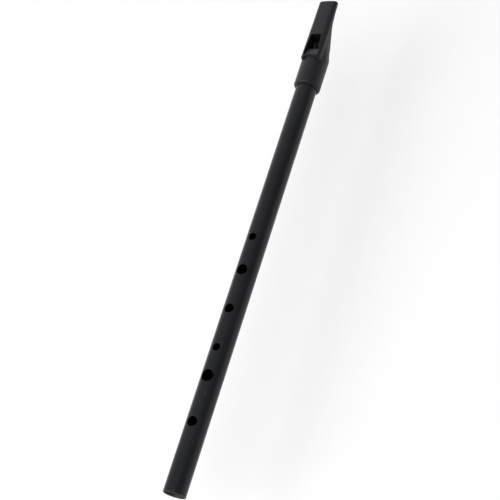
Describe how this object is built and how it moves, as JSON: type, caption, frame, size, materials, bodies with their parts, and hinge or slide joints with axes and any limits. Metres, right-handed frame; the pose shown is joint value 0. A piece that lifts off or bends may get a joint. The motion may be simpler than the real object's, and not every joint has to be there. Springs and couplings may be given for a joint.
{
  "type": "tin whistle",
  "caption": "Slim end-blown whistle: a thin lacquered tube with finger holes and a moulded mouthpiece whose windway blows onto a blade, sliding on the tube to tune it.",
  "frame": {"origin": "on the tube's axis at its foot, the open end furthest from the mouthpiece", "axes": "+X along the tube's axis towards the mouthpiece's tip, +Z out of the window and the finger holes, +Y to the side"},
  "size_m": [0.299, 0.0154, 0.0163],
  "materials": {
    "tube_lacquer": "satin black lacquer on a thin brass tube",
    "mouthpiece_plastic": "satin moulded black plastic",
    "plug_plastic": "satin moulded black plastic"
  },
  "bodies": {
    "tube": {"body_tube": "tube_lacquer"},
    "mouthpiece": {"mouthpiece_shell": "mouthpiece_plastic", "fipple_plug": "plug_plastic"}
  },
  "joints": [
    {"name": "tuning_slide", "type": "slide", "parent": "tube", "child": "mouthpiece", "axis": [1, 0, 0], "range_m": [0, 0.01]}
  ]
}
